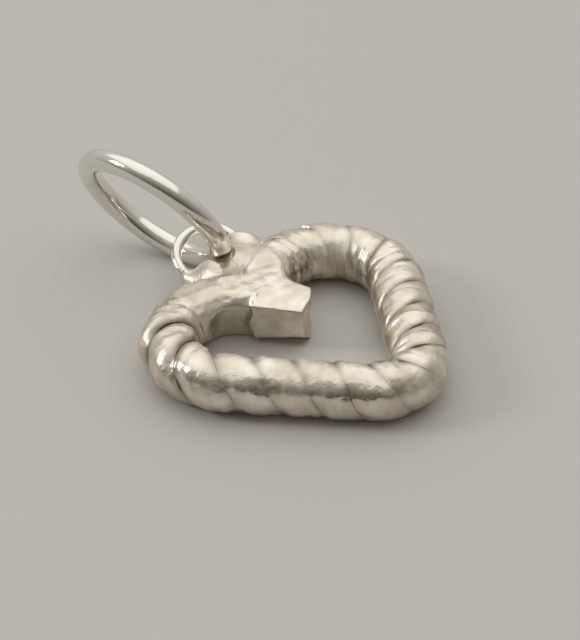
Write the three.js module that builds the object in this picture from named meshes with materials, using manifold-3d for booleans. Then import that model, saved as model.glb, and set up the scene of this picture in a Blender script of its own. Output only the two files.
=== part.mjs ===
// Silver rope heart pendant, lying on its back. Millimetres, +Z up.
// Two wires are twisted into a rope and bent to a heart. The rope's ends are soldered together at the cleft,
// an eyelet is soldered into the notch above it, and a loose jump ring hangs in the eyelet.
// The origin is on the back, midway between the two lobes, where the soldered ends are filed flat.
// +Y runs from the tip to the eyelet and +X to the right lobe, seen from the front.
import * as THREE from 'three';
import { mergeVertices } from 'three/addons/utils/BufferGeometryUtils.js';
import Module from 'manifold-3d';

const { clamp, degToRad, mapLinear } = THREE.MathUtils;

// Rope and heart. Radii are to the rope's centreline, and each lobe is tangent to the heart's axis.
const WIRE_DEPTH = 0.94; // from the rope's axis to its outside
const WIRE_GAP = 0.03;
const LOBE_RADIUS = 2.24;
const TIP_RADIUS = 1.62;
const TIP_DEPTH = 3.9; // from the lobes' centres to the centre of the tip's bend

// Twist and wear. The lists give values at shares of the rope's length, from the right lobe to the left one.
const TWIST_START = degToRad(142.6);
const STATIONS = [0.05, 0.1, 0.17, 0.25, 0.38, 0.52, 0.65, 0.78, 0.9, 0.97];
const LAYS = [2.5, 2.5, 2.5, 2.5, 2.5, 2.15, 2.7, 2.7, 2.7, 2.7];
const GROOVE_DEPTHS = [0.12, 0.05, 0.06, 0.17, 0.2, 0.06, 0.07, 0.1, 0.22, 0.05];
const GROOVE_CRISPNESS = [5, 4, 4, 6, 7, 4, 3, 3, 3, 3]; // the power by which a wire falls away to its groove
const SWELLS = [0, 0, 0, 0, 0, 0, 0, 0.02, 0.08, 0.05];
const WEAR = [0.5, 0.6, 0.7, 0.8, 0.8, 0.6, 0.7, 0.6, 0.2, 0.2]; // share of the depth lost where most worn
const LEAST_WORN = degToRad(110); // from the heart's outside over the top
const WIRE_HALF_WIDTH = degToRad(86);
const FLANK_WIDTH = 0.93; // share of that, halfway to the rope's axis

// Soldered cleft. Angles go round a lobe, from its outer side over the top to the axis.
const RIGHT_SOLDER_START = degToRad(128);
const RIGHT_END = degToRad(201.5);
const LEFT_SOLDER_START = degToRad(108);
const LEFT_END = degToRad(152); // inside the right end, which it runs into
const SOLDER_COAT = 0.06; // solder outside the rope's crests
const MITRE_ANGLE = degToRad(224); // the way the trimmed end's face looks
const MITRE_REACH = 0.8; // from the origin to that face
const CHEEK_REACH = 0.88; // from the origin to the face square to it
const FACET_HEIGHT = 1.62; // filed top of the trimmed end, at the mitred face
const FACET_SLOPE = degToRad(8);
const CROWN_HEIGHT = 1.82; // filed top behind that
const BLOCK_START = degToRad(150); // where the right end starts to thicken
const BLOCK_FULL = degToRad(190);
const BLOCK_SWELL = 0.2;
const INSIDE_REACH = 0.88; // from the left end's middle to the face filed inside the lobe
const WEB_RADIUS = 0.75; // solder between the two ends
const WEB_HEIGHT = 1.3;
const WEB_REACH = 0.25; // towards the mitred face
const WEB_OFFSET = 0.75; // away from the cheek
const UNDERCUT_REACH = 0.4; // from the origin to where the underside rises towards that face
const UNDERCUT_SLOPE = degToRad(58);

// Eyelet and its solder.
const EYELET_HOLE = 1.85;
const EYELET_WIRE = 0.38;
const EYELET_OFFSET = 0.67; // to the right of the axis
const EYELET_DROP = 0.62; // below the rope's top
const EYELET_TILT = degToRad(24); // the way the mitred face looks
const SADDLE_DEPTH = 0.07; // how far the rim is filed to fit the right lobe
const FILLET_WIDTH = 3;
const FILLET_DEPTH = 1.7;
const FILLET_HEIGHT = 1.44;
const FILLET_SHIFT = 0.15; // to the left of the eyelet's middle

// Jump ring.
const RING_HOLE = 4.6;
const RING_WIRE = 0.75;
const RING_LEAN = degToRad(29.5); // to the left, out of the plane of the axis
const RING_TURN = degToRad(5.4); // about the upright through the rim
const RING_PLAY = 0.45; // slack between ring and rim
const LINK_ANGLE = degToRad(98); // round the eyelet, where the ring hangs

// Fits and facets.
const SEAT_GAP = 0.04;
const ROPE_STEPS = 140;
const WIRE_STEPS = 8;
const TUBE_SIDES = 20;
const TUBE_STEP = 0.24;
const RING_SIDES = 12;
const RING_STEPS = 40;
const CUTTER = 40;

const ropeRadius = WIRE_DEPTH + WIRE_GAP / 2;
const solderRadius = ropeRadius + SOLDER_COAT;
const eyeletRadius = (EYELET_HOLE + EYELET_WIRE) / 2;
const eyeletZ = 2 * ropeRadius - EYELET_DROP - EYELET_WIRE / 2;
const ringRadius = (RING_HOLE + RING_WIRE) / 2;

const ropeSilver = new THREE.MeshStandardMaterial({ color: 0xe4ddd0, roughness: 0.35, metalness: 1 });
const solderSilver = new THREE.MeshStandardMaterial({ color: 0xe8e2d8, roughness: 0.3, metalness: 1 });
const polishedSilver = new THREE.MeshStandardMaterial({ color: 0xeae6de, roughness: 0.12, metalness: 1 });

const wasm = await Module();
wasm.setup();

function toSolid(geometry, matrix = new THREE.Matrix4()) {
  const bare = new THREE.BufferGeometry();
  bare.setAttribute('position', geometry.getAttribute('position').clone());
  bare.setIndex(geometry.index);
  bare.applyMatrix4(matrix);
  const merged = mergeVertices(bare);
  return new wasm.Manifold(new wasm.Mesh({
    numProp: 3,
    vertProperties: new Float32Array(merged.getAttribute('position').array),
    triVerts: new Uint32Array(merged.index.array),
  }));
}

function toGeometry(solid) {
  const { vertProperties, triVerts } = solid.getMesh();
  const geometry = new THREE.BufferGeometry();
  geometry.setAttribute('position', new THREE.BufferAttribute(vertProperties, 3));
  geometry.setIndex(new THREE.BufferAttribute(triVerts, 1));
  geometry.computeVertexNormals();
  return geometry;
}

// One side of the side lines' outward normal: the common tangent of lobe and tip.
function sideAngle() {
  const span = Math.hypot(LOBE_RADIUS, TIP_DEPTH);
  return Math.atan2(TIP_DEPTH, LOBE_RADIUS) - Math.acos((TIP_RADIUS - LOBE_RADIUS) / span);
}

// The stretch of a lobe between two angles, as a flat path. side is 1 for the right lobe and -1 for the left.
function addLobe(path, side, from, to) {
  const turn = (angle) => (side > 0 ? angle : Math.PI - angle);
  path.absarc(side * LOBE_RADIUS, 0, LOBE_RADIUS, turn(from), turn(to), (to - from) * side < 0);
  return path;
}

// The twisted rope's centreline, from the right lobe's solder round the tip to the left lobe's.
function ropePath() {
  const path = addLobe(new THREE.Path(), 1, RIGHT_SOLDER_START, sideAngle());
  path.absarc(0, -TIP_DEPTH, TIP_RADIUS, sideAngle(), Math.PI - sideAngle(), true);
  return addLobe(path, -1, sideAngle(), LEFT_SOLDER_START);
}

// Carries a closed section along a flat path at the rope's height. sectionAt gives it at a share of the length.
// A section point's x is to the left of the path and its y is up. What would sink into the ground is worn flat.
function sweep(path, sectionAt, steps) {
  const sides = sectionAt(0).length;
  const positions = [];
  const index = [];
  const addPoint = (share, point) => {
    const place = path.getPoint(share);
    const ahead = path.getTangent(share);
    positions.push(place.x - ahead.y * point.x, place.y + ahead.x * point.x, Math.max(ropeRadius + point.y, 0));
  };
  const addMiddle = (share) => {
    const total = sectionAt(share).reduce((sum, point) => sum.add(point), new THREE.Vector2());
    addPoint(share, total.divideScalar(sides));
  };
  for (let step = 0; step <= steps; step++) {
    sectionAt(step / steps).forEach((point) => addPoint(step / steps, point));
  }
  addMiddle(0);
  addMiddle(1);
  const startMiddle = (steps + 1) * sides;
  const lastRing = steps * sides;
  for (let side = 0; side < sides; side++) {
    const next = (side + 1) % sides;
    for (let ring = 0; ring < lastRing; ring += sides) {
      index.push(ring + side, ring + next, ring + sides + side);
      index.push(ring + next, ring + sides + next, ring + sides + side);
    }
    index.push(startMiddle, next, side);
    index.push(startMiddle + 1, lastRing + side, lastRing + next);
  }
  const geometry = new THREE.BufferGeometry();
  geometry.setAttribute('position', new THREE.Float32BufferAttribute(positions, 3));
  geometry.setIndex(index);
  geometry.computeVertexNormals();
  return geometry;
}

function polar(reach, angle) {
  return new THREE.Vector2(reach * Math.cos(angle), reach * Math.sin(angle));
}

// A value that changes along the rope, between the stations.
function atShare(values, share) {
  const next = STATIONS.findIndex((station) => station > share);
  if (next === 0) return values[0];
  if (next < 0) return values.at(-1);
  return mapLinear(share, STATIONS[next - 1], STATIONS[next], values[next - 1], values[next]);
}

// Half of the rope, cut square: it falls away from its crest to the groove on each side.
function wireSection(share, turn) {
  const outside = ropeRadius + atShare(SWELLS, share);
  const depth = atShare(GROOVE_DEPTHS, share);
  const crispness = atShare(GROOVE_CRISPNESS, share);
  const wear = atShare(WEAR, share);
  const points = Array.from({ length: WIRE_STEPS + 1 }, (_, i) => {
    const part = Math.sin(Math.PI * (i / WIRE_STEPS - 0.5));
    const angle = turn + part * WIRE_HALF_WIDTH;
    const kept = 1 - wear + wear * ((1 + Math.cos(angle - LEAST_WORN)) / 2) ** 2;
    return polar(outside - depth * kept * Math.abs(part) ** crispness, angle);
  });
  const flank = FLANK_WIDTH * WIRE_HALF_WIDTH;
  return points.concat([
    polar(ropeRadius / 2, turn + flank),
    polar(WIRE_GAP / 2, turn),
    polar(ropeRadius / 2, turn - flank),
  ]);
}

// One wire of the rope. The running total of the lay gives its turn.
function strand(phase) {
  const path = ropePath();
  const stepLength = path.getLength() / ROPE_STEPS;
  const turns = [TWIST_START + phase];
  for (let step = 0; step < ROPE_STEPS; step++) {
    turns.push(turns[step] + (2 * Math.PI * stepLength) / atShare(LAYS, (step + 0.5) / ROPE_STEPS));
  }
  return sweep(path, (share) => wireSection(share, turns[Math.round(share * ROPE_STEPS)]), ROPE_STEPS);
}

// A round tube along a lobe. swell is how much thicker it is past the start of the block.
function lobeTube(side, from, to, radius, swell = 0) {
  const path = addLobe(new THREE.Path(), side, from, to);
  const sectionAt = (share) => {
    const past = mapLinear(from + share * (to - from), BLOCK_START, BLOCK_FULL, 0, 1);
    const reach = radius + swell * clamp(past, 0, 1);
    return Array.from({ length: TUBE_SIDES }, (_, i) => polar(reach, (2 * Math.PI * i) / TUBE_SIDES));
  };
  return toSolid(sweep(path, sectionAt, Math.ceil(path.getLength() / TUBE_STEP)));
}

// A large block whose flat side faces back along its outward direction, to cut off what lies beyond.
function beyond(point, outward) {
  const turn = new THREE.Quaternion().setFromUnitVectors(new THREE.Vector3(0, 0, 1), outward);
  const centre = point.clone().addScaledVector(outward, CUTTER / 2);
  const matrix = new THREE.Matrix4().compose(centre, turn, new THREE.Vector3(1, 1, 1));
  return toSolid(new THREE.BoxGeometry(CUTTER, CUTTER, CUTTER), matrix);
}

// An upright post at a place on the ground plan.
function post(place, radius, bottom, height) {
  const cylinder = new THREE.CylinderGeometry(radius, radius, height, TUBE_SIDES);
  cylinder.rotateX(Math.PI / 2);
  cylinder.translate(place.x, place.y, bottom + height / 2);
  return toSolid(cylinder);
}

// The two rope ends, flooded with solder: the right one is filed to a block with an undercut.
function cleftJoint() {
  const gapAngle = SEAT_GAP / LOBE_RADIUS;
  const mitre = new THREE.Vector3(Math.cos(MITRE_ANGLE), Math.sin(MITRE_ANGLE), 0);
  const mitreTop = mitre.clone().multiplyScalar(MITRE_REACH).setZ(FACET_HEIGHT);
  const facet = new THREE.Vector3(0, 0, Math.cos(FACET_SLOPE)).addScaledVector(mitre, Math.sin(FACET_SLOPE));
  const cheek = new THREE.Vector3(-mitre.y, mitre.x, 0);
  const undercut = new THREE.Vector3(0, 0, -Math.cos(UNDERCUT_SLOPE))
    .addScaledVector(mitre, Math.sin(UNDERCUT_SLOPE));
  const trimmed = lobeTube(1, RIGHT_SOLDER_START + gapAngle, RIGHT_END, solderRadius, BLOCK_SWELL)
    .subtract(beyond(mitreTop, facet))
    .subtract(beyond(cheek.clone().multiplyScalar(CHEEK_REACH), cheek));
  const lobeCentre = new THREE.Vector3(-LOBE_RADIUS, 0, 0);
  const webPlace = mitre.clone().multiplyScalar(WEB_REACH).addScaledVector(cheek, -WEB_OFFSET);
  return lobeTube(-1, LEFT_SOLDER_START + gapAngle, LEFT_END, solderRadius)
    .subtract(post(lobeCentre, LOBE_RADIUS - INSIDE_REACH, -CUTTER / 2, CUTTER))
    .add(post(webPlace, WEB_RADIUS, ropeRadius - WEB_HEIGHT / 2, WEB_HEIGHT))
    .add(trimmed)
    .subtract(beyond(new THREE.Vector3(0, 0, CROWN_HEIGHT), new THREE.Vector3(0, 0, 1)))
    .subtract(beyond(mitreTop, mitre))
    .subtract(beyond(mitre.clone().multiplyScalar(UNDERCUT_REACH), undercut))
    .subtract(beyond(new THREE.Vector3(), new THREE.Vector3(0, 0, -1)));
}

// The room that both lobes take up, with the gap that a seated piece keeps.
function lobesWithGap() {
  const radius = solderRadius + SEAT_GAP;
  return lobeTube(1, 0, RIGHT_END, radius).add(lobeTube(-1, 0, LEFT_END, radius));
}

// Where the eyelet lies: it is tilted, and its rim sinks into the right lobe by the saddle's depth.
function eyeletPlace() {
  const lobeHalfWidth = Math.sqrt((solderRadius + SEAT_GAP) ** 2 - (eyeletZ - ropeRadius) ** 2);
  const reach = LOBE_RADIUS + lobeHalfWidth + eyeletRadius + EYELET_WIRE / 2 - SADDLE_DEPTH;
  const y = Math.sqrt(reach ** 2 - (LOBE_RADIUS - EYELET_OFFSET) ** 2);
  const flat = polar(Math.sin(EYELET_TILT), MITRE_ANGLE);
  const axis = new THREE.Vector3(flat.x, flat.y, Math.cos(EYELET_TILT));
  const turn = new THREE.Quaternion().setFromUnitVectors(new THREE.Vector3(0, 0, 1), axis);
  const centre = new THREE.Vector3(EYELET_OFFSET, y, eyeletZ);
  return new THREE.Matrix4().compose(centre, turn, new THREE.Vector3(1, 1, 1));
}

function eyeletRing(wire) {
  return toSolid(new THREE.TorusGeometry(eyeletRadius, wire / 2, RING_SIDES, RING_STEPS), eyeletPlace());
}

// The room that the ring needs to swing: the eyelet's hole and half its rim, along its axis both ways.
function eyeletHole() {
  const cylinder = new THREE.CylinderGeometry(eyeletRadius, eyeletRadius, CUTTER, RING_STEPS);
  return toSolid(cylinder.rotateX(Math.PI / 2), eyeletPlace());
}

function eyelet() {
  return eyeletRing(EYELET_WIRE).subtract(lobesWithGap());
}

// Solder that has run into the notch between the lobes and round the eyelet's rim. Slivers are left out.
function eyeletFillet() {
  const centre = new THREE.Vector3().setFromMatrixPosition(eyeletPlace());
  centre.x -= FILLET_SHIFT;
  centre.y -= eyeletRadius;
  centre.z = ropeRadius;
  const size = new THREE.Vector3(FILLET_WIDTH, FILLET_DEPTH, FILLET_HEIGHT);
  const matrix = new THREE.Matrix4().compose(centre, new THREE.Quaternion(), size);
  const bodies = toSolid(new THREE.SphereGeometry(0.5, TUBE_SIDES, TUBE_SIDES / 2), matrix)
    .subtract(lobesWithGap())
    .subtract(eyeletRing(EYELET_WIRE + 2 * SEAT_GAP))
    .subtract(eyeletHole())
    .decompose();
  return bodies.reduce((largest, body) => (body.volume() > largest.volume() ? body : largest));
}

// The jump ring hangs round the eyelet's far rim and leans until it rests on the ground.
function hangingRing() {
  const rim = polar(eyeletRadius, LINK_ANGLE);
  const link = new THREE.Group();
  link.position.set(rim.x, rim.y, 0).applyMatrix4(eyeletPlace());
  const hang = ringRadius - (EYELET_WIRE + RING_WIRE) / 2 - RING_PLAY;
  const rise = ringRadius * Math.cos(RING_LEAN) + RING_WIRE / 2 + SEAT_GAP / 2 - link.position.z;
  const ring = new THREE.Mesh(
    new THREE.TorusGeometry(ringRadius, RING_WIRE / 2, RING_SIDES, RING_STEPS),
    polishedSilver,
  );
  ring.name = 'jump_ring';
  ring.position.y = hang;
  ring.rotation.y = Math.PI / 2;
  const lift = new THREE.Group();
  lift.rotation.x = Math.asin(rise / (hang * Math.cos(RING_LEAN)));
  lift.add(ring);
  link.rotation.set(0, -RING_LEAN, RING_TURN, 'ZYX');
  link.add(lift);
  return link;
}

function addPiece(group, name, geometry, material) {
  const mesh = new THREE.Mesh(geometry, material);
  mesh.name = name;
  group.add(mesh);
}

const pendant = new THREE.Group();
addPiece(pendant, 'rope_strand_a', strand(0), ropeSilver);
addPiece(pendant, 'rope_strand_b', strand(Math.PI), ropeSilver);
addPiece(pendant, 'cleft_joint', toGeometry(cleftJoint()), solderSilver);
addPiece(pendant, 'eyelet', toGeometry(eyelet()), polishedSilver);
addPiece(pendant, 'eyelet_solder', toGeometry(eyeletFillet()), solderSilver);
pendant.add(hangingRing());

export default pendant;
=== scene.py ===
"""A silver rope heart pendant, lying on its back.

Lengths are worked out in millimetres and written to the meshes in metres.
"""
import math

import bpy
import numpy as np
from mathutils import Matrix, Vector


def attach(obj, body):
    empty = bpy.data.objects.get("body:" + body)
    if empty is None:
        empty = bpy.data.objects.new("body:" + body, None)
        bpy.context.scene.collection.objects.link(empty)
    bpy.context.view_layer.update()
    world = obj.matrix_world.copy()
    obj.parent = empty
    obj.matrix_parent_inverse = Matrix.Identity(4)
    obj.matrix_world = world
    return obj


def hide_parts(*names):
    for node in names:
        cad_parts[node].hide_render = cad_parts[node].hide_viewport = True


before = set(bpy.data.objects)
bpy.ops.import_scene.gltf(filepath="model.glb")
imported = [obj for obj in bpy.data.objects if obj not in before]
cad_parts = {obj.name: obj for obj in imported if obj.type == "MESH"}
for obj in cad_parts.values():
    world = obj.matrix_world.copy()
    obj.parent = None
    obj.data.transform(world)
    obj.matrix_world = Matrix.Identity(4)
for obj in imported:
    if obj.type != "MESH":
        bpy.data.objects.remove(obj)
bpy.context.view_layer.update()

# Rope wires. Two sterling wires, twisted right-handed into a rope, pressed together and bent to a heart.
# The charm was tumbled after soldering, so the crests are worn soft, and only some grooves are still deep.
MM = 0.001
ROPE_RADIUS = 0.955
LOBE_RADIUS = 2.24
TIP_RADIUS = 1.62
TIP_DEPTH = 3.9
RIGHT_END = math.radians(201.5)
LEFT_END = math.radians(152)
LINE_STEPS = 20000


def heart_line(lengths):
    """Places and left-hand directions on the rope's centreline, at lengths from the right lobe's trimmed end.

    The line is five stretches of constant bend: lobe, side, tip, side and lobe. The heading is the running
    total of the bends, and a place is the running total of the headings, in steps of about a micron. Also
    returns the lengths at which the stretches end.
    """
    span = math.hypot(LOBE_RADIUS, TIP_DEPTH)
    side = math.atan2(TIP_DEPTH, LOBE_RADIUS) - math.acos((TIP_RADIUS - LOBE_RADIUS) / span)
    side_length = math.sqrt(span ** 2 - (LOBE_RADIUS - TIP_RADIUS) ** 2)
    bends = np.array([RIGHT_END - side, 0, math.pi + 2 * side, 0, LEFT_END - side])
    radii = np.array([LOBE_RADIUS, 0, TIP_RADIUS, 0, LOBE_RADIUS])
    stretches = bends * radii + np.array([0, side_length, 0, side_length, 0])
    ends = np.concatenate([[0], np.cumsum(stretches)])
    headings = RIGHT_END - math.pi / 2 - np.concatenate([[0], np.cumsum(bends)])
    fine = np.linspace(0, ends[-1], LINE_STEPS + 1)
    heading = np.interp(fine, ends, headings)
    step = fine[1]
    middle = (heading[1:] + heading[:-1]) / 2
    x = LOBE_RADIUS * (1 + math.cos(RIGHT_END)) + np.concatenate([[0], np.cumsum(np.cos(middle) * step)])
    y = LOBE_RADIUS * math.sin(RIGHT_END) + np.concatenate([[0], np.cumsum(np.sin(middle) * step)])
    at = np.interp(lengths, fine, heading)
    flat = np.zeros_like(lengths)
    place = np.stack([np.interp(lengths, fine, x), np.interp(lengths, fine, y), flat + ROPE_RADIUS], -1)
    left = np.stack([-np.sin(at), np.cos(at), flat], -1)
    return place, left, ends


def solid(name, points, faces):
    """A smooth-shaded mesh object of points in mm and faces, written in metres."""
    mesh = bpy.data.meshes.new(name)
    mesh.from_pydata((points * MM).tolist(), [], faces)
    mesh.polygons.foreach_set("use_smooth", np.ones(len(mesh.polygons), bool))
    piece = bpy.data.objects.new(name, mesh)
    bpy.context.scene.collection.objects.link(piece)
    return piece


def skin(name, grid, ring=False, **attributes):
    """A mesh over a grid of points in mm. Each row is a closed loop, and quads join it to the next row.

    A ring joins its last row to its first. Otherwise each end is a fan of triangles to the middle of its row.
    """
    rows, columns, _ = grid.shape
    number = np.arange(rows * columns).reshape(rows, columns)
    near = number if ring else number[:-1]
    far = np.roll(number, -1, 0) if ring else number[1:]
    quads = np.stack([near, np.roll(near, -1, 1), np.roll(far, -1, 1), far], -1).reshape(-1, 4)
    points = grid.reshape(-1, 3)
    faces = quads.tolist()
    if not ring:
        points = np.concatenate([points, [grid[0].mean(0), grid[-1].mean(0)]])
        first, last = number[0], number[-1]
        start = np.stack([np.full(columns, rows * columns), np.roll(first, -1), first], -1)
        end = np.stack([np.full(columns, rows * columns + 1), last, np.roll(last, -1)], -1)
        faces += start.tolist() + end.tolist()
    piece = solid(name, points, faces)
    for key, values in attributes.items():
        full = np.zeros(len(points), np.float32)
        full[:rows * columns] = np.broadcast_to(values, (rows, columns)).reshape(-1)
        piece.data.attributes.new(key, "FLOAT", "POINT").data.foreach_set("value", full)
    return piece


def eased(share):
    """A share held between 0 and 1, with its start and end rounded off: three squares less two cubes."""
    share = np.clip(share, 0, 1)
    return share * share * (3 - 2 * share)


# The wires start and end inside the solder, at these lengths from the lobes' ends. Where they start, on the
# right lobe, they sink under the solder's skin.
WIRE_START = LOBE_RADIUS * math.radians(83)
WIRE_END = LOBE_RADIUS * math.radians(64)
SINK_LENGTH = 0.8
SINK_DEPTH = 0.1
# The twist, and how it changes along the rope at shares of its length. The angle that is worn least is
# measured from the heart's outside over the top of the rope.
TWIST_START = LOBE_RADIUS * math.radians(73.5)
TWIST_END = LOBE_RADIUS * math.radians(44)
TWIST_PHASE = math.radians(142.6)
STATIONS = np.array([0.05, 0.1, 0.17, 0.25, 0.38, 0.52, 0.65, 0.78, 0.89, 0.95])
GROOVE_DEPTH = [0.015, 0.04, 0.06, 0.17, 0.2, 0.08, 0.12, 0.14, 0.22, 0.02]
CRISPNESS = [5, 4, 4, 6, 7, 4, 3, 3, 3, 3]
SOFTNESS = [0.5, 1, 1, 0.3, 0.2, 0.9, 1, 1, 0.8, 1]
SWELL = [0, 0, 0, 0, 0, 0, 0, 0.02, 0.06, 0]
WEAR = [0.5, 0.6, 0.7, 0.8, 0.8, 0.6, 0.7, 0.6, 0.2, 0.2]
LEAST_WORN = np.radians([50, 80, 110, 110, 110, 120, 140, 140, 110, 110])
LAY = [2.5, 2.5, 2.5, 2.5, 2.5, 2.15, 2.7, 2.7, 2.7, 2.7]
# The wire's section: half its share of the rope as an angle, a hair over a quarter turn so that the two wires
# press together, the radius at which its inside passes the rope's middle, and how its edges are rounded.
WIRE_ROWS = 700
SECTION_POINTS = 56
HALF_WIDTH = 1.575
EDGE_SHARE = 1.02
EDGE_EASE = 0.12
CORE_RADIUS = 0.05
# The groove depth at which the painted shade in the grooves reaches its darkest.
FULL_SHADE_DEPTH = 0.16


def rope_wire(name, half_turn):
    """One wire: half of a round rope, turned once in each lay as it is carried along the heart.

    Across the wire its outside falls away from the crest by a power of the angle, down to the groove. The
    power is the groove's crispness, and where the groove is worn soft its bottom is rounded to a wave. Wear
    leaves the groove deepest at one angle round the rope. All of these change slowly along the rope, as in
    hand work. Lumps are products of waves along and round the rope. The inside of the wire runs close to the
    rope's middle, and the attribute it returns is painted shade in the grooves, darker where they are deeper.
    """
    ends = heart_line(np.zeros(1))[2]
    lengths = np.linspace(WIRE_START, ends[-1] - WIRE_END, WIRE_ROWS)
    place, left, _ = heart_line(lengths)
    stations = TWIST_START + (ends[-1] - TWIST_END - TWIST_START) * STATIONS

    def along_rope(values):
        """A value at each length, on straight lines between the stations, as a column."""
        return np.interp(lengths, stations, values)[:, None]

    lay = np.interp(lengths, stations, LAY)
    turn = np.concatenate([[0], np.cumsum(2 * math.pi / lay[1:] * np.diff(lengths))])
    turn += TWIST_PHASE + 2 * math.pi / LAY[0] * (lengths[0] - TWIST_START) + half_turn
    t = np.linspace(0, 2 * math.pi, SECTION_POINTS, endpoint=False)
    across_wire = HALF_WIDTH * np.clip(EDGE_SHARE * np.sin(t), -1, 1)
    angle = turn[:, None] + across_wire
    part = np.abs(across_wire / HALF_WIDTH)
    soft = along_rope(SOFTNESS)
    fall = (1 - soft) * part ** along_rope(CRISPNESS) + soft * np.sin(math.pi / 2 * part ** 2) ** 2
    wear = along_rope(WEAR)
    kept = ((1 + np.cos(angle - along_rope(LEAST_WORN))) / 2) ** 4
    depth = along_rope(GROOVE_DEPTH) * (1 - wear + wear * kept)
    uneven = 0.018 * np.sin(2.1 * lengths + half_turn) + 0.014 * np.sin(4.7 * lengths + 2 * half_turn)
    along = lengths[:, None]
    lumps = 0.02 * np.sin(5.1 * along + 2 * angle) * np.sin(3.3 * along - 3 * angle + half_turn)
    lumps = lumps + 0.013 * np.sin(8.7 * along - 4 * angle) * np.sin(6.1 * along + 3 * angle + 1.3)
    lumps = lumps + 0.004 * np.sin(14.3 * along + 5 * angle) * np.sin(11.2 * along - 7 * angle + half_turn)
    out_of_solder = np.clip((along - lengths[0]) / SINK_LENGTH, 0, 1)
    sunk = ROPE_RADIUS - SINK_DEPTH * (1 - out_of_solder)
    outside = sunk + along_rope(SWELL) + (uneven[:, None] + lumps) * out_of_solder - depth * fall
    reach = CORE_RADIUS + (outside - CORE_RADIUS) * eased((np.cos(t) + EDGE_EASE) / (2 * EDGE_EASE))
    sideways = (reach * np.cos(angle))[..., None]
    height = np.maximum(reach * np.sin(angle), -ROPE_RADIUS)[..., None]
    grid = place[:, None] + left[:, None] * sideways + np.array([0, 0, 1.0]) * height
    # The attribute is painted shade. It darkens the grooves, more where they are deeper.
    return skin(name, grid, groove=fall ** 2 * np.minimum(depth / FULL_SHADE_DEPTH, 1))


def linear(hex_colour):
    """An sRGB hex colour as linear red, green, blue and alpha."""
    channels = np.array([int(hex_colour[i:i + 2], 16) for i in (1, 3, 5)]) / 255
    low = channels / 12.92
    high = ((channels + 0.055) / 1.055) ** 2.4
    return (*np.where(channels <= 0.04045, low, high), 1)


def add(tree, kind, settings=(), inputs=()):
    """A node of that kind, with its settings, and with each input set to a value or linked to an output."""
    node = tree.nodes.new(kind)
    for key, value in dict(settings).items():
        setattr(node, key, value)
    for key, value in dict(inputs).items():
        if isinstance(value, bpy.types.NodeSocket):
            tree.links.new(value, node.inputs[key])
        else:
            node.inputs[key].default_value = value
    return node


def new_material(name):
    """A material with its node tree and its shader."""
    material = bpy.data.materials.new(name)
    material.use_nodes = True
    return material, material.node_tree, material.node_tree.nodes["Principled BSDF"]


# Tumbled sterling: nearly white metal with a warm cast, rolled in steel shot until its surface is full of
# dents about 0.35 mm across. The dents break up the reflections, and some patches are duller than others. The
# grooves are darkened towards a grey brown as painted shade, more where they are deeper.
DENT_WIDTH = 0.35 * MM
DENT_DEPTH = 0.06 * MM
CLOUD_WIDTH = 0.7 * MM
BLOOM_WIDTH = 1.6 * MM
tumbled, tree, shader = new_material("tumbled sterling silver")
spot = add(tree, "ShaderNodeTexCoord").outputs["Object"]
dents = add(tree, "ShaderNodeTexNoise", inputs={"Vector": spot, "Scale": 1 / DENT_WIDTH, "Detail": 3.0})
bloom = add(tree, "ShaderNodeTexNoise", inputs={"Vector": spot, "Scale": 1 / BLOOM_WIDTH, "Detail": 4.0})
cloud = add(tree, "ShaderNodeTexNoise", inputs={"Vector": spot, "Scale": 1 / CLOUD_WIDTH, "Detail": 3.0})
# Painted shade in the rope's grooves: the wire's attribute mixes the metal towards a grey brown.
groove = add(tree, "ShaderNodeAttribute", {"attribute_name": "groove"})
clouded = {"Value": cloud.outputs["Fac"], "From Min": 0.3, "From Max": 0.7}
dull = add(tree, "ShaderNodeMapRange", inputs=clouded)
bright_and_dull = {"Factor": dull.outputs["Result"], "A": linear("#f1eadd"), "B": linear("#d6cbb9")}
metal = add(tree, "ShaderNodeMix", {"data_type": "RGBA"}, bright_and_dull)
with_painted_shade = {"Factor": groove.outputs["Fac"], "A": metal.outputs["Result"], "B": linear("#746b60")}
colour = add(tree, "ShaderNodeMix", {"data_type": "RGBA"}, with_painted_shade)
gloss = {"Value": bloom.outputs["Fac"], "From Min": 0.35, "From Max": 0.65, "To Min": 0.2, "To Max": 0.5}
rough = add(tree, "ShaderNodeMapRange", inputs=gloss)
dented = {"Height": dents.outputs["Fac"], "Strength": 0.7, "Distance": DENT_DEPTH}
bump = add(tree, "ShaderNodeBump", inputs=dented)
shader.inputs["Metallic"].default_value = 1.0
tree.links.new(colour.outputs["Result"], shader.inputs["Base Color"])
tree.links.new(rough.outputs["Result"], shader.inputs["Roughness"])
tree.links.new(bump.outputs["Normal"], shader.inputs["Normal"])

for node, half_turn in (("rope_strand_a", 0), ("rope_strand_b", math.pi)):
    wire = rope_wire(node.replace("strand", "wire"), half_turn)
    wire.data.materials.append(tumbled)
    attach(wire, "heart")
    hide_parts(node)

# Cleft. The rope's two ends, flooded with silver solder until the twist disappears, then filed.
# The right end is a block with a flat facet, a mitred front and an undercut. The left end runs into its back,
# and a wedge of solder carries the facet on between them.
SOLDER_RADIUS = 1.015
SOLDER_START = 0.84
RIGHT_FLOOD = (math.radians(84), math.radians(128))
LEFT_FLOOD = (math.radians(48), math.radians(92))
LEFT_FLOOD_END = LEFT_END + math.radians(5)
END_SWELL = 0.2
SWELL_START = math.radians(150)
SWELL_SPAN = math.radians(40)
FILED_EDGE = 0.05
SOLDERED_EDGE = 0.06
FLOOD_EASE = 0.2
CREASE = 0.12
HAMMER_DEPTH = 0.013


def soft_least(a, b, ease):
    """The lesser of two distances, with the crease between them filled over a width of ease."""
    share = np.clip(0.5 + 0.5 * (b - a) / ease, 0, 1)
    return b + (a - b) * share - ease * share * (1 - share)


def soft_most(a, b, ease):
    """The greater of two distances, with the edge between them rounded over a width of ease."""
    return -soft_least(-a, -b, ease)


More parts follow.
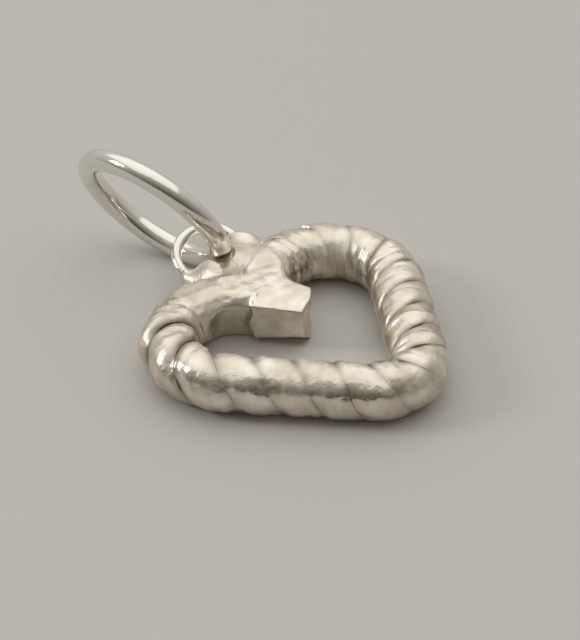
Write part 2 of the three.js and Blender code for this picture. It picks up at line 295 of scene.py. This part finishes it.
def soldered_lobe(at, side, flood, end):
    """Distance to a lobe's soldered end: a bent tube that swells from inside the rope to its full radius.

    It swells between the two angles of flood, and once more towards the end, where solder has gathered. Also
    returns how far each point is outside the lobe's centreline, and its angle round the lobe. side is 1 for
    the right lobe and -1 for the left.
    """
    start, full = flood
    x = side * at[..., 0] - LOBE_RADIUS
    angle = np.arctan2(at[..., 1], x) % (2 * math.pi)
    out = np.hypot(x, at[..., 1]) - LOBE_RADIUS
    radius = SOLDER_START + (SOLDER_RADIUS - SOLDER_START) * eased((angle - start) / (full - start))
    radius = radius + END_SWELL * np.clip((angle - SWELL_START) / SWELL_SPAN, 0, 1)
    tube = np.hypot(out, at[..., 2] - ROPE_RADIUS) - radius
    before = x * math.sin(start) - at[..., 1] * math.cos(start)
    beyond = at[..., 1] * math.cos(end) - x * math.sin(end)
    return np.maximum(soft_most(tube, before, FLOOD_EASE), beyond), out, angle


CROWN_HEIGHT = 1.82
CROWN_RISE = 0.3
CROWN_REACH = 1.9


def above_crown(at):
    """Height over the filed crown, which is flat near the cleft and rises gently along both lobes."""
    away = np.hypot(at[..., 0], at[..., 1])
    return at[..., 2] - CROWN_HEIGHT - CROWN_RISE * np.maximum(away - CROWN_REACH, 0)


# The mitred front faces into the heart. Seen from there, the cheek is the block's side to the right of it, and
# the web's left side is turned 28 degrees from the cheek, along the facet's left edge.
MITRE = math.radians(224)
MITRE_REACH = 0.8
CHEEK_REACH = 0.88
FACET_HEIGHT = 1.62
FACET_SLOPE = math.radians(8)
UNDERCUT_HEIGHT = 0.64
UNDERCUT_SLOPE = math.radians(38)
FRONT_TURN = 0.2
FRONT_LEAN = 0.16
FRONT_PIVOT = 0.5
WEB_BACK = 0.5
WEB_RIGHT = 0.5
WEB_LEFT = 0.81
upright = np.array([0, 0, 1.0])
mitre_way = np.array([math.cos(MITRE), math.sin(MITRE), 0])
cheek_way = np.array([-mitre_way[1], mitre_way[0], 0])
facet_way = upright * math.cos(FACET_SLOPE) + mitre_way * math.sin(FACET_SLOPE)
front_way = mitre_way - cheek_way * FRONT_TURN - upright * FRONT_LEAN
undercut_way = mitre_way * math.sin(UNDERCUT_SLOPE) - upright * math.cos(UNDERCUT_SLOPE)
web_left_way = -mitre_way * 0.464 - cheek_way * 0.886
mitre_top = mitre_way * MITRE_REACH + upright * FACET_HEIGHT
mitre_foot = mitre_way * MITRE_REACH + upright * UNDERCUT_HEIGHT
web_faces = (
    (web_left_way * WEB_LEFT, web_left_way),
    (cheek_way * WEB_RIGHT, cheek_way),
    (-mitre_way * WEB_BACK, -mitre_way),
)


def right_block(at):
    """Distance to the right end: the soldered lobe under the facet and inside the cheek."""
    block = soldered_lobe(at, 1, RIGHT_FLOOD, RIGHT_END)[0]
    block = soft_most(block, (at - mitre_top) @ facet_way, FILED_EDGE)
    return soft_most(block, (at - cheek_way * CHEEK_REACH) @ cheek_way, FILED_EDGE)


INSIDE_REACH = 1.02
INSIDE_CUT = 0.14
INSIDE_TOP = 1.46
INSIDE_LEAN = 0.3
INSIDE_START = math.radians(80)
INSIDE_SPAN = math.radians(40)


def left_block(at):
    """Distance to the left end, with its inside filed to a face that leans under and grows along the lobe."""
    block, out, angle = soldered_lobe(at, -1, LEFT_FLOOD, LEFT_FLOOD_END)
    filed = INSIDE_CUT + (INSIDE_TOP - at[..., 2]) * INSIDE_LEAN
    grown = eased((angle - INSIDE_START) / INSIDE_SPAN)
    return soft_most(block, filed * grown - out - INSIDE_REACH, FILED_EDGE)


def web(at):
    """Distance to the solder between the two blocks: a wedge that carries the facet on to the left block."""
    wedge = (at - mitre_top) @ facet_way
    for point, outward in web_faces:
        wedge = soft_most(wedge, (at - point) @ outward, SOLDERED_EDGE)
    return wedge


def cleft(at):
    """Distance to the filed cleft: the right block and the web inside the mitred front and the undercut,
    joined to the left block, under the crown and over the back, with shallow hammered waves all over.
    """
    tongue = soft_least(right_block(at), web(at), SOLDERED_EDGE)
    tongue = soft_most(tongue, (at - mitre_top - cheek_way * FRONT_PIVOT) @ front_way, SOLDERED_EDGE)
    tongue = soft_most(tongue, (at - mitre_foot) @ undercut_way, FILED_EDGE)
    joined = soft_most(soft_least(tongue, left_block(at), CREASE), above_crown(at), FILED_EDGE)
    waves = np.sin(at @ np.array([7.0, 5.0, 3.0])) * np.sin(at @ np.array([-4.0, 8.0, 6.0]))
    return np.maximum(joined + HAMMER_DEPTH * waves, -at[..., 2])


def surface(name, distance, low, high, cell):
    """A mesh where a distance is nought: one point in each cell of a grid that the surface crosses.

    The point is the mean of the crossings on the cell's edges, moved along the slope onto the surface. Each
    grid edge that crosses the surface gives a quad between its four cells.
    """
    low = np.array(low)
    counts = np.ceil((np.array(high) - low) / cell).astype(int) + 1
    axes = [low[i] + cell * np.arange(counts[i]) for i in range(3)]
    corners = np.stack(np.meshgrid(*axes, indexing="ij"), -1)
    value = distance(corners)
    total = np.zeros((*(counts - 1), 3))
    crossings = np.zeros(counts - 1)
    shifts = np.array(np.meshgrid([0, 1], [0, 1], [0, 1], indexing="ij")).reshape(3, -1).T

    def corner(shift):
        """The distances at the same corner of every cell."""
        cut = tuple(slice(s, s + n) for s, n in zip(shift, counts - 1))
        return value[cut]

    for axis in range(3):
        for shift in shifts[shifts[:, axis] == 0]:
            far = shift.copy()
            far[axis] = 1
            a, b = corner(shift), corner(far)
            crossed = (a < 0) != (b < 0)
            share = np.where(crossed, a / np.where(crossed, a - b, 1), 0)
            total += np.where(crossed[..., None], shift + share[..., None] * (far - shift), 0)
            crossings += crossed
    used = crossings > 0
    number = np.full(used.shape, -1)
    number[used] = np.arange(used.sum())
    points = low + cell * (np.argwhere(used) + total[used] / crossings[used][:, None])
    nudge = 0.002
    rounds = 3
    for _ in range(rounds):
        rises = [distance(points + nudge * way) - distance(points - nudge * way) for way in np.eye(3)]
        slope = np.stack(rises, -1) / (2 * nudge)
        steepness = np.maximum((slope ** 2).sum(-1), 0.2)
        move = slope * (distance(points) / steepness)[:, None]
        points = points - np.clip(move, -cell / 2, cell / 2)
    faces = []
    for axis in range(3):
        one, two = [i for i in range(3) if i != axis]
        inner = [slice(1, -1)] * 3
        inner[axis] = slice(0, -1)
        ahead = list(inner)
        ahead[axis] = slice(1, None)
        a, b = value[tuple(inner)], value[tuple(ahead)]
        crossed = (a < 0) != (b < 0)
        around = []
        for back_one, back_two in ((1, 1), (0, 1), (0, 0), (1, 0)):
            cut = [slice(None)] * 3
            cut[one] = slice(1 - back_one, counts[one] - 1 - back_one)
            cut[two] = slice(1 - back_two, counts[two] - 1 - back_two)
            around.append(number[tuple(cut)][crossed])
        quads = np.stack(around, -1)
        outward = (a[crossed] < 0) ^ (axis == 1)
        quads[~outward] = quads[~outward][:, ::-1]
        faces += quads.tolist()
    return solid(name, points, faces)


block = surface("cleft_ends", cleft, low=(-4.5, -1.5, -0.12), high=(2.8, 3.5, 2.15), cell=0.055)
block.data.materials.append(tumbled)
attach(block, "heart")
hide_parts("cleft_joint")

# Eyelet. A closed ring of thin round sterling wire, tilted in the notch with its far side up, and soldered to
# the right lobe. It is polished, apart from where solder has run up its rim.
EYELET_WIRE = 0.19
EYELET_HOLE = 1.85
EYELET_RADIUS = EYELET_HOLE / 2 + EYELET_WIRE
EYELET_TILT = math.radians(24)
eyelet_centre = np.array([0.67, 4.2386, 1.1])
eyelet_axis = mitre_way * math.sin(EYELET_TILT) + upright * math.cos(EYELET_TILT)
eyelet_down = mitre_way * math.cos(EYELET_TILT) - upright * math.sin(EYELET_TILT)


def wire_ring(centre, one, two, radius, wire, places=180, points=40):
    """A round wire carried round a circle that two directions span: a ring of rings."""
    u = np.linspace(0, 2 * math.pi, places, endpoint=False)
    v = np.linspace(0, 2 * math.pi, points, endpoint=False)
    out = np.cos(u)[:, None] * one + np.sin(u)[:, None] * two
    axis = np.cross(one, two)
    section = wire * (np.cos(v)[:, None] * out[:, None] - np.sin(v)[:, None] * axis)
    return centre + radius * out[:, None] + section


# Polished sterling: drawn wire, buffed bright, so that it mirrors its surroundings. Handling has left a faint
# haze in patches about 0.9 mm across, and the buffing a slight waviness.
HAZE_WIDTH = 0.9 * MM
HAZE_DEPTH = 0.03 * MM
polished, tree, shader = new_material("polished sterling silver")
spot = add(tree, "ShaderNodeTexCoord").outputs["Object"]
haze = add(tree, "ShaderNodeTexNoise", inputs={"Vector": spot, "Scale": 1 / HAZE_WIDTH, "Detail": 3.0})
rough = add(tree, "ShaderNodeMapRange", inputs={"Value": haze.outputs["Fac"], "To Min": 0.06, "To Max": 0.2})
wavy = {"Height": haze.outputs["Fac"], "Strength": 0.4, "Distance": HAZE_DEPTH}
bump = add(tree, "ShaderNodeBump", inputs=wavy)
shader.inputs["Base Color"].default_value = linear("#e9e5dc")
shader.inputs["Metallic"].default_value = 1.0
tree.links.new(rough.outputs["Result"], shader.inputs["Roughness"])
tree.links.new(bump.outputs["Normal"], shader.inputs["Normal"])

loop_grid = wire_ring(eyelet_centre, eyelet_down, cheek_way, EYELET_RADIUS, EYELET_WIRE)
loop = skin("eyelet_loop", loop_grid, ring=True)
loop.data.materials.append(polished)
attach(loop, "heart")
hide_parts("eyelet")

# Jump ring. A closed ring of round sterling wire, polished bright, that hangs loose round the eyelet's rim.
# It leans to the left and rests on the ground, with a hair of room under it.
RING_WIRE = 0.75 / 2
RING_HOLE = 4.6
RING_RADIUS = RING_HOLE / 2 + RING_WIRE
RING_PLAY = 0.45
GROUND_GAP = 0.02
RING_LEAN = math.radians(29.5)
RING_TURN = math.radians(5.4)
LINK_ANGLE = math.radians(98) - MITRE
eyelet_rim = eyelet_centre + EYELET_RADIUS * (
    eyelet_down * math.cos(LINK_ANGLE) + cheek_way * math.sin(LINK_ANGLE)
)
hang = RING_RADIUS - EYELET_WIRE - RING_WIRE - RING_PLAY
rise = RING_RADIUS * math.cos(RING_LEAN) + RING_WIRE + GROUND_GAP - eyelet_rim[2]
lift = math.asin(rise / (hang * math.cos(RING_LEAN)))
about_z = np.array([
    [math.cos(RING_TURN), -math.sin(RING_TURN), 0],
    [math.sin(RING_TURN), math.cos(RING_TURN), 0],
    [0, 0, 1],
])
about_y = np.array([
    [math.cos(RING_LEAN), 0, -math.sin(RING_LEAN)],
    [0, 1, 0],
    [math.sin(RING_LEAN), 0, math.cos(RING_LEAN)],
])
ring_along = about_z @ about_y @ np.array([0, math.cos(lift), math.sin(lift)])
ring_across = about_z @ about_y @ np.array([0, -math.sin(lift), math.cos(lift)])
ring_axis = np.cross(ring_along, ring_across)
ring_grid = wire_ring(eyelet_rim + hang * ring_along, ring_along, ring_across, RING_RADIUS, RING_WIRE)
ring = skin("hanging_ring", ring_grid, ring=True)
ring.data.materials.append(polished)
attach(ring, "ring")
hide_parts("jump_ring")

# Eyelet solder. Silver solder that has run into the notch and drawn up over the rim and both lobes.
# It is smooth and a little hollow, as solder is where it wets two surfaces.
POOL_CENTRE = np.array([0.65, 3.0, ROPE_RADIUS])
POOL_SIZE = np.array([1.3, 1.25, 0.82])
SOLDER_CENTRE = np.array([0.5, 3.1, 1.0])
SOLDER_SIZE = np.array([2.0, 1.5, 1.2])
UNDER_SKIN = 0.04
SOLDER_EDGE = 0.1
HOLLOW = 0.4
COAT = 0.33
COAT_LESS = 0.03
COAT_START = 0.6
COAT_SPAN = 1.3
COAT_PROUD = 0.75
OPEN_RADIUS = 0.95
OPEN_LESS = 0.3
OPEN_HEIGHT = 0.5
SWINGS = np.radians(np.linspace(-115, 2, 27))
SWING_ROOM = 0.08
FLOOD_LEAN = 0.6
flood_way = (cheek_way + FLOOD_LEAN * eyelet_down) / math.hypot(1, FLOOD_LEAN)


def notch_solder(at):
    """Distance to the solder: the lobes, the rim and a pool in the notch, joined with their creases filled.

    Lobes and rim are a hair smaller than the real pieces, so that the solder shows only where it fills. The
    coat on the rim is thickest on the right lobe's side and ends on the far side. The hole stays open along
    its axis, less wide towards the top, and the solder is rubbed away wherever the jump ring comes close as
    it swings in its own plane about the rim.
    """
    lobes = soft_least(right_block(at), left_block(at), FLOOD_EASE)
    lobes = soft_most(lobes, above_crown(at), SOLDER_EDGE) + UNDER_SKIN
    off_axis = (at - eyelet_centre) @ eyelet_axis
    from_axis = np.linalg.norm(at - eyelet_centre - off_axis[..., None] * eyelet_axis, axis=-1)
    towards_lobe = (at - eyelet_centre) @ flood_way / np.maximum(from_axis, 0.01)
    coat = COAT * eased((towards_lobe + COAT_START) / COAT_SPAN) - COAT_LESS
    rim_radius = EYELET_RADIUS + COAT_PROUD * np.maximum(coat, 0)
    rim = np.hypot(from_axis - rim_radius, off_axis) - (EYELET_WIRE + coat)
    pool = (np.linalg.norm((at - POOL_CENTRE) / POOL_SIZE, axis=-1) - 1) * POOL_SIZE.min()
    filled = soft_least(soft_least(lobes, rim, HOLLOW), pool, HOLLOW)
    open_reach = OPEN_RADIUS - OPEN_LESS * np.clip(off_axis / OPEN_HEIGHT, 0, 1)
    filled = soft_most(filled, open_reach - from_axis, SOLDER_EDGE)
    for swing in SWINGS:
        swung = ring_along * math.cos(swing) + ring_across * math.sin(swing)
        from_centre = at - eyelet_rim - hang * swung
        from_ring = np.hypot(from_centre @ ring_along, from_centre @ ring_across) - RING_RADIUS
        filled = np.maximum(filled, RING_WIRE + SWING_ROOM - np.hypot(from_ring, from_centre @ ring_axis))
    bound = np.linalg.norm((at - SOLDER_CENTRE) / SOLDER_SIZE, axis=-1) - 1
    return np.maximum(soft_most(filled, bound, SOLDER_EDGE), -at[..., 2])


fillet = surface("eyelet_fillet", notch_solder, low=(-2.0, 1.1, -0.12), high=(2.9, 4.9, 2.4), cell=0.06)
fillet.data.materials.append(tumbled)
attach(fillet, "heart")
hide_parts("eyelet_solder")

# Ground. A plain sheet of pale matt paper, wide enough to fill every view. It is there for the pendant to lie
# on, and isn't part of it. Real paper fibre is finer than 0.5 mm, and is drawn as coarse as it needs to show.
GROUND_HALF = 1.0
FIBRE_WIDTH = 0.5 * MM
FIBRE_DEPTH = 0.02 * MM
ground_corners = [(x * GROUND_HALF, y * GROUND_HALF, 0) for x, y in ((-1, -1), (1, -1), (1, 1), (-1, 1))]
ground_mesh = bpy.data.meshes.new("ground")
ground_mesh.from_pydata(ground_corners, [], [(0, 1, 2, 3)])
ground = bpy.data.objects.new("ground", ground_mesh)
bpy.context.scene.collection.objects.link(ground)
paper, tree, shader = new_material("pale paper")
spot = add(tree, "ShaderNodeTexCoord").outputs["Object"]
fibre = add(tree, "ShaderNodeTexNoise", inputs={"Vector": spot, "Scale": 1 / FIBRE_WIDTH, "Detail": 4.0})
fibrous = {"Height": fibre.outputs["Fac"], "Strength": 0.2, "Distance": FIBRE_DEPTH}
bump = add(tree, "ShaderNodeBump", inputs=fibrous)
shader.inputs["Base Color"].default_value = linear("#c6c4bf")
shader.inputs["Roughness"].default_value = 0.8
tree.links.new(bump.outputs["Normal"], shader.inputs["Normal"])
ground_mesh.materials.append(paper)

# Light. A broad soft lamp above and behind, as from a window, a weaker one to the left, and a room that is
# bright towards the window and dark on the near side, which the metal mirrors.
AZIMUTH = math.radians(-46.4)
ELEVATION = math.radians(35)
near_way = np.array([math.sin(AZIMUTH), -math.cos(AZIMUTH), 0])
back_way = near_way * math.cos(ELEVATION) + upright * math.sin(ELEVATION)
right_way = np.array([math.cos(AZIMUTH), math.sin(AZIMUTH), 0])
up_way = np.cross(back_way, right_way)


def lamp(name, place, size, power):
    """A square lamp of that size in metres and power in watts, turned towards the origin."""
    data = bpy.data.lights.new(name, "AREA")
    data.size = size
    data.energy = power
    made = bpy.data.objects.new(name, data)
    made.location = place
    made.rotation_euler = Vector(-place).to_track_quat("-Z", "Y").to_euler()
    bpy.context.scene.collection.objects.link(made)


lamp("window", -near_way * 0.14 + upright * 0.48, size=0.9, power=1.2)
lamp("side", -right_way * 0.35 + upright * 0.2, size=0.1, power=0.35)

world = bpy.data.worlds.new("room")
bpy.context.scene.world = world
world.use_nodes = True
tree = world.node_tree
look = add(tree, "ShaderNodeTexCoord").outputs["Generated"]
bright_way = tuple(-near_way * 0.7 + upright * 0.7)
facing = add(tree, "ShaderNodeVectorMath", {"operation": "DOT_PRODUCT"}, {0: look, 1: bright_way})
share = add(tree, "ShaderNodeMapRange", inputs={"Value": facing.outputs["Value"], "From Min": -0.6})
dark_and_bright = {"Factor": share.outputs["Result"], "A": linear("#4b4742"), "B": linear("#dcdad5")}
room = add(tree, "ShaderNodeMix", {"data_type": "RGBA"}, dark_and_bright)
tree.links.new(room.outputs["Result"], tree.nodes["Background"].inputs["Color"])

# Camera. At the photograph's angle, 110 mm from the heart, framed for an image of 580 by 640 pixels.
# The heart's middle on the ground falls on pixel MIDDLE_X, MIDDLE_Y, and the aim falls on the image's middle.
IMAGE_WIDTH = 580
IMAGE_HEIGHT = 640
SENSOR = 36
DISTANCE = 110
PIXELS_PER_MM = 30
heart_middle = np.array([0, -1.51, 0])
MIDDLE_X = 317.5
MIDDLE_Y = 356.6
to_left = (MIDDLE_X - IMAGE_WIDTH / 2) / PIXELS_PER_MM
to_top = (MIDDLE_Y - IMAGE_HEIGHT / 2) / PIXELS_PER_MM
aim = heart_middle - right_way * to_left + up_way * to_top
camera_data = bpy.data.cameras.new("camera")
camera_data.sensor_width = SENSOR
camera_data.lens = SENSOR * DISTANCE * PIXELS_PER_MM / IMAGE_HEIGHT
camera_data.clip_start = 0.001
camera = bpy.data.objects.new("camera", camera_data)
camera.location = (aim + back_way * DISTANCE) * MM
camera.rotation_euler = Vector(-back_way).to_track_quat("-Z", "Y").to_euler()
bpy.context.scene.collection.objects.link(camera)
bpy.context.scene.camera = camera
bpy.context.scene.view_settings.view_transform = "Standard"
